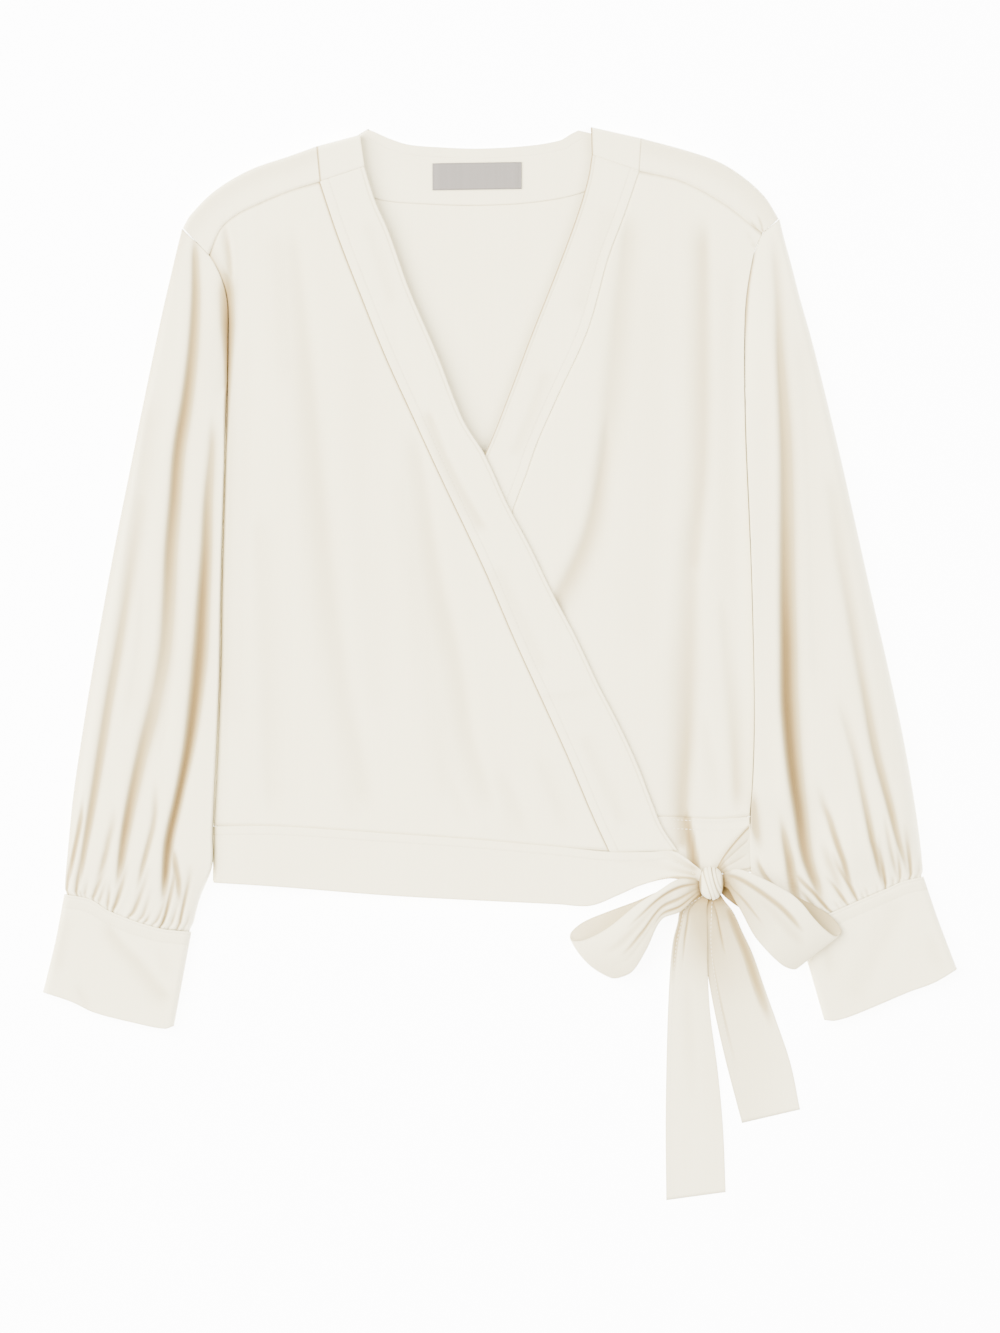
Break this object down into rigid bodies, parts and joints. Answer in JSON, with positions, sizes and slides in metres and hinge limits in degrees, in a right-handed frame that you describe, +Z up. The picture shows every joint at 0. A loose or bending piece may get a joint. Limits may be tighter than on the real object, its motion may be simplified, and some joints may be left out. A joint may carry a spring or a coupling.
{
  "type": "wrap top",
  "caption": "Long-sleeved wrap top of ivory crepe, laid flat: wide neckband, gathered sleeves on deep cuffs, tie belt in a bow at the wearer's left hip.",
  "frame": {"origin": "centre of the garment's outline on the surface it lies on, under its lowest face", "axes": "+Y from hem to neck, +X to the wearer's left, +Z up out of the front, which faces up"},
  "size_m": [0.676, 0.7942, 0.0245],
  "materials": {
    "crepe": "matt ivory crepe",
    "label": "plain grey woven tape"
  },
  "bodies": {
    "root": {"back_panel": "crepe", "front_right": "crepe", "front_left": "crepe", "neckband_back": "crepe", "neckband_right": "crepe", "neckband_left": "crepe", "waistband_right": "crepe", "waistband_left": "crepe", "waistband_back": "crepe", "sleeve_right_upper": "crepe", "sleeve_right_under": "crepe", "sleeve_left_upper": "crepe", "sleeve_left_under": "crepe", "cuff_right": "crepe", "cuff_left": "crepe", "tie_strap_left": "crepe", "bow_knot": "crepe", "bow_loop_right": "crepe", "bow_loop_left": "crepe", "bow_tail_right": "crepe", "bow_tail_left": "crepe", "neck_label": "label"}
  },
  "joints": []
}
